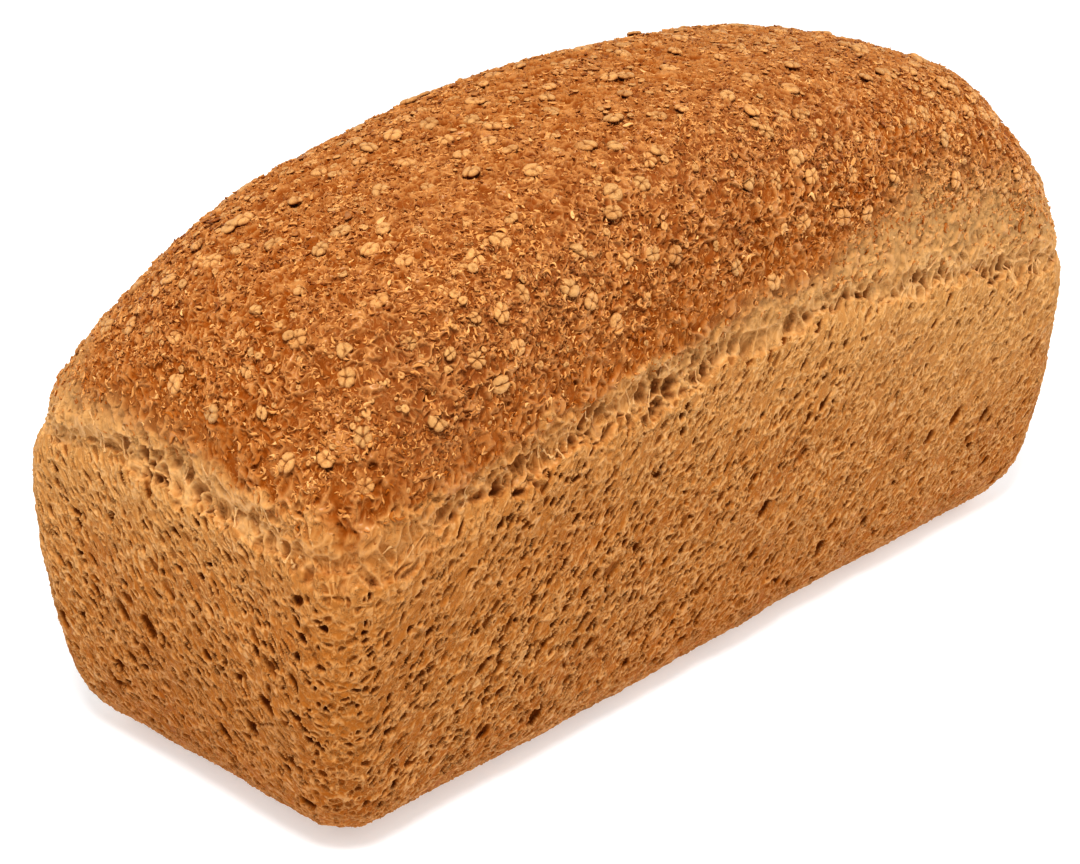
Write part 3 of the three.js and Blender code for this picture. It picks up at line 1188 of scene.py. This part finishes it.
def crust_material(colours):
    """Tin wall, torn crumb and browned vault, told apart by the marks on the points.

    Rise and depth are in mm, and up is in metres. The other marks go from 0 to 1, but for the
    tan, which goes from -1 to 1.
    """
    material, tree, shader = new_material("baked crust", 0.55, 0.14, colours.flake)
    rise = mark(tree, "rise")
    depth = mark(tree, "depth")
    torn = mark(tree, "torn")
    rim = mark(tree, "rim")
    vault = mark(tree, "vault")
    vector = object_place(tree)
    up = add_node(tree, "ShaderNodeSeparateXYZ", Vector=vector).outputs[2]
    wobble = maths(tree, "MULTIPLY_ADD", noise(tree, vector, 13, 3.0), 16.0, -8.0)

    # The oven's tan moves the browning up or down the loaf
    tan = mark(tree, "tan")
    tanned = maths(tree, "MULTIPLY_ADD", tan, 31.0, wobble)
    level = maths(tree, "ADD", rise, tanned)

    # Walls darken towards the base and pale under the break; the vault browns from gold
    lower = maths(tree, "ADD", up, maths(tree, "MULTIPLY", wobble, 2 * MM))
    wall = mixed(tree, spread(tree, lower, 0.035, 0.004), colours.wall, colours.wall_dark)
    pale = maths(tree, "MULTIPLY_ADD", tan, -30.0, rise)
    wall = mixed(tree, spread(tree, pale, -44, 8), wall, colours.wall_pale)
    crust = mixed(tree, spread(tree, level, 3, 16), colours.gold, colours.amber)
    crust = mixed(tree, spread(tree, level, 17, 36), crust, colours.brown)
    base = mixed(tree, vault, wall, crust)
    tint = placed_group(tree, oven_tint_group(), Colour=base, Amount=0.25, Patch=1.0)
    grain = placed_group(tree, crumb_grain_group(), Size=1.0, Stretch=1.6)

    # Pale crumb in the break, and painted shade down in every pit and pocket: a darker, redder
    # colour where less light reaches, partly the crust's own darker colour there
    pockets = spread(tree, noise(tree, vector, 7, 1.0), 0.42, 0.6, 0.35, 0.9)
    crumb = mixed(tree, spread(tree, tan, -0.1, 0.45, 0.0, 0.8), colours.crumb, colours.wall)
    colour = mixed(tree, maths(tree, "MULTIPLY", torn, pockets), tint.outputs["Colour"], crumb)
    pit = maths(tree, "MULTIPLY", spread(tree, depth, 0.12, 0.95), 0.92)
    pit_shade = maths(tree, "MULTIPLY", pit, spread(tree, torn, 0.0, 0.35, 1.0, 0.0))
    torn_pocket_shade = maths(tree, "MULTIPLY", spread(tree, depth, 0.7, 3.0), 0.5)
    pit_shade = maths(tree, "MAXIMUM", pit_shade, torn_pocket_shade)
    grain_pit_shade = maths(tree, "MULTIPLY", grain.outputs["Hollow"], 0.15)
    pit_shade = maths(tree, "MAXIMUM", pit_shade, grain_pit_shade)
    colour = mixed(tree, pit_shade, colour, colours.hollow_shade)

    # Painted highlight: pale colour on the edges and pit rims, browner on the vault, with a
    # glossy coat there, except down in the pits
    lit = maths(tree, "MULTIPLY", grain.outputs["Ridge"], 0.5)
    lit = maths(tree, "MAXIMUM", lit, maths(tree, "MULTIPLY", rim, 0.68))
    open_part = maths(tree, "SUBTRACT", 1.0, maths(tree, "MULTIPLY", pit_shade, 0.85))
    lit = maths(tree, "MULTIPLY", lit, open_part)
    browned = maths(tree, "MAXIMUM", vault, spread(tree, tan, 0.1, 0.6, 0.0, 0.6))
    highlight_colour = mixed(tree, browned, colours.ridge, colours.bran)
    feed(tree, shader.inputs["Base Color"], mixed(tree, lit, colour, highlight_colour))
    feed(tree, shader.inputs["Coat Weight"], spread(tree, lit, 0.2, 0.7, 0.0, 0.4))
    shader.inputs["Coat Roughness"].default_value = 0.25

    # The finest relief is strongest on the walls
    fine = maths(tree, "SUBTRACT", 0.55, maths(tree, "MULTIPLY", vault, 0.25))
    fine = maths(tree, "SUBTRACT", fine, maths(tree, "MULTIPLY", torn, 0.1))
    add_bump(tree, shader, maths(tree, "MULTIPLY", grain.outputs["Height"], fine))
    return material


def crumb_material(colours):
    """Pale strands of crumb."""
    material, tree, shader = new_material("torn crumb", 0.5, 0.35)
    base = mixed(tree, noise(tree, object_place(tree), 5.0), colours.crumb, colours.ridge)
    tint = placed_group(tree, oven_tint_group(), Colour=base, Amount=0.7, Patch=1.5)
    feed(tree, shader.inputs["Base Color"], tint.outputs["Colour"])
    grain = placed_group(tree, crumb_grain_group(), Size=0.6, Stretch=1.6)
    add_bump(tree, shader, grain.outputs["Height"], 0.6)
    return material


def flake_material(colours):
    """Toasted flakes, each with its own tone, with painted shade in the folds and small pits.
    """
    material, tree, shader = new_material("toasted flake", 0.32, 0.5, colours.flake)
    tone = mark(tree, "tone")
    base = mixed(tree, spread(tree, tone, 0.0, 1.0, 0.0, 0.5), colours.flake, colours.gold)
    tint = placed_group(tree, oven_tint_group(), Colour=base, Amount=0.4, Patch=2.2)
    grain = placed_group(tree, crumb_grain_group(), Size=0.8, Stretch=1.0)
    # Painted shade in the creases and dimple, a painted shadow round the rim, and painted shade
    # in the grain's small pits
    folded = maths(tree, "MULTIPLY", mark(tree, "fold"), 0.8)
    colour = mixed(tree, folded, tint.outputs["Colour"], colours.hollow_shade)
    grain_pit_shade = maths(tree, "MULTIPLY", grain.outputs["Hollow"], 0.3)
    colour = mixed(tree, grain_pit_shade, colour, colours.amber)
    feed(tree, shader.inputs["Base Color"], colour)
    add_bump(tree, shader, grain.outputs["Height"], 0.5)
    return material


def bran_material(colours):
    """Bran chips: most near the colour of the crust under them, some light as straw."""
    material, tree, shader = new_material("bran", 0.26, 0.5, colours.flake)
    tone = mark(tree, "tone")
    high_up = spread(tree, mark(tree, "rise"), 8, 30)
    crust = mixed(tree, high_up, colours.wall_dark, colours.brown)
    middle = mixed(tree, 0.45, crust, colours.bran)
    base = mixed(tree, spread(tree, tone, 0.3, 0.55), colours.bran, middle)
    base = mixed(tree, spread(tree, tone, 0.6, 0.95), base, crust)
    base = mixed(tree, spread(tree, tone, 0.1, 0.0), base, colours.ridge)
    tint = placed_group(tree, oven_tint_group(), Colour=base, Amount=0.3, Patch=2.0)
    feed(tree, shader.inputs["Base Color"], tint.outputs["Colour"])
    return material


# ---- Stage ----


class SPELT_OT_stage(bpy.types.Operator):
    """Set the floor, the soft light and the camera"""

    bl_idname = "spelt_loaf.stage"
    bl_label = "Set the stage"

    def execute(self, context):
        stage = context.scene.spelt_stage
        scene = context.scene
        scene.view_settings.view_transform = "Standard"
        scene.view_settings.look = "High Contrast"
        mesh = bpy.data.meshes.new("floor")
        turns = ((-1, -1), (1, -1), (1, 1), (-1, 1))
        corners = [(FLOOR_REACH * x, FLOOR_REACH * y, 0) for x, y in turns]
        mesh.from_pydata(corners, [], [(0, 1, 2, 3)])
        material, tree, shader = new_material("pale floor", 0.6, 0.2)
        shader.inputs["Emission Strength"].default_value = FLOOR_GLOW
        shader.inputs["Emission Color"].default_value = (1, 1, 1, 1)
        speck = spread(tree, noise(tree, object_place(tree), 40, 2.0), 0.3, 0.7, 0.0, 0.03)
        tone = mixed(tree, speck, scene.spelt_colours.floor, (0.8, 0.8, 0.8))
        feed(tree, shader.inputs["Base Color"], tone)
        mesh.materials.append(material)
        floor = bpy.data.objects.new("floor", mesh)
        scene.collection.objects.link(floor)

        world = bpy.data.worlds.new("studio")
        world.use_nodes = True
        sky = world.node_tree.nodes["Background"]
        sky.inputs["Color"].default_value = (1, 1, 1, 1)
        sky.inputs["Strength"].default_value = SKY_STRENGTH
        scene.world = world

        middle = (CAD_BOX[0] + CAD_BOX[1]) / 2
        for name, (offset, size, power) in LAMPS.items():
            away = Vector(offset)
            lamp = bpy.data.lights.new(name, "AREA")
            lamp.shape = "DISK"
            lamp.size = size
            lamp.energy = power
            light = bpy.data.objects.new(name, lamp)
            light.location = middle + away
            light.rotation_euler = (-away).to_track_quat("-Z", "Y").to_euler()
            scene.collection.objects.link(light)

        # The camera looks at a point inside the loaf, a little to one end of its middle
        length = CAD_BOX[1].x - CAD_BOX[0].x
        aim = Vector((-0.065 * length, 0, 0.195 * length))
        level = math.cos(stage.elevation)
        across = math.sin(stage.azimuth) * level
        along = -math.cos(stage.azimuth) * level
        back = Vector((across, along, math.sin(stage.elevation)))
        lens = bpy.data.cameras.new("camera")
        lens.lens = stage.lens
        lens.sensor_width = SENSOR_WIDTH
        camera = bpy.data.objects.new("camera", lens)
        camera.location = aim + back * stage.distance
        camera.rotation_euler = back.to_track_quat("Z", "Y").to_euler()
        scene.collection.objects.link(camera)
        scene.camera = camera
        return {"FINISHED"}


# ---- Panel and registration ----


OPERATORS = (SPELT_OT_crust, SPELT_OT_strands, SPELT_OT_flakes, SPELT_OT_bran, SPELT_OT_stage)
GROUPS = {
    "spelt_crust": SPELT_PG_crust,
    "spelt_topping": SPELT_PG_topping,
    "spelt_colours": SPELT_PG_colours,
    "spelt_stage": SPELT_PG_stage,
}


class SPELT_PT_loaf(bpy.types.Panel):
    """Sizes, colours and steps of the spelt loaf"""

    bl_idname = "SPELT_PT_loaf"
    bl_label = "Spelt loaf"
    bl_space_type = "VIEW_3D"
    bl_region_type = "UI"
    bl_category = "Spelt loaf"

    def draw(self, context):
        for operator in OPERATORS:
            self.layout.operator(operator.bl_idname)
        for name, group in GROUPS.items():
            box = self.layout.box()
            for setting in group.__annotations__:
                box.prop(getattr(context.scene, name), setting)


def register():
    for group in GROUPS.values():
        bpy.utils.register_class(group)
    for name, group in GROUPS.items():
        setattr(bpy.types.Scene, name, PointerProperty(type=group))
    for operator in OPERATORS:
        bpy.utils.register_class(operator)
    bpy.utils.register_class(SPELT_PT_loaf)


def unregister():
    bpy.utils.unregister_class(SPELT_PT_loaf)
    for operator in reversed(OPERATORS):
        bpy.utils.unregister_class(operator)
    for name in GROUPS:
        delattr(bpy.types.Scene, name)
    for group in reversed(list(GROUPS.values())):
        bpy.utils.unregister_class(group)


def main():
    register()
    bpy.ops.spelt_loaf.stage()
    bpy.ops.spelt_loaf.crust()
    bpy.ops.spelt_loaf.strands()
    bpy.ops.spelt_loaf.flakes()
    bpy.ops.spelt_loaf.bran()


if __name__ == "__main__":
    main()
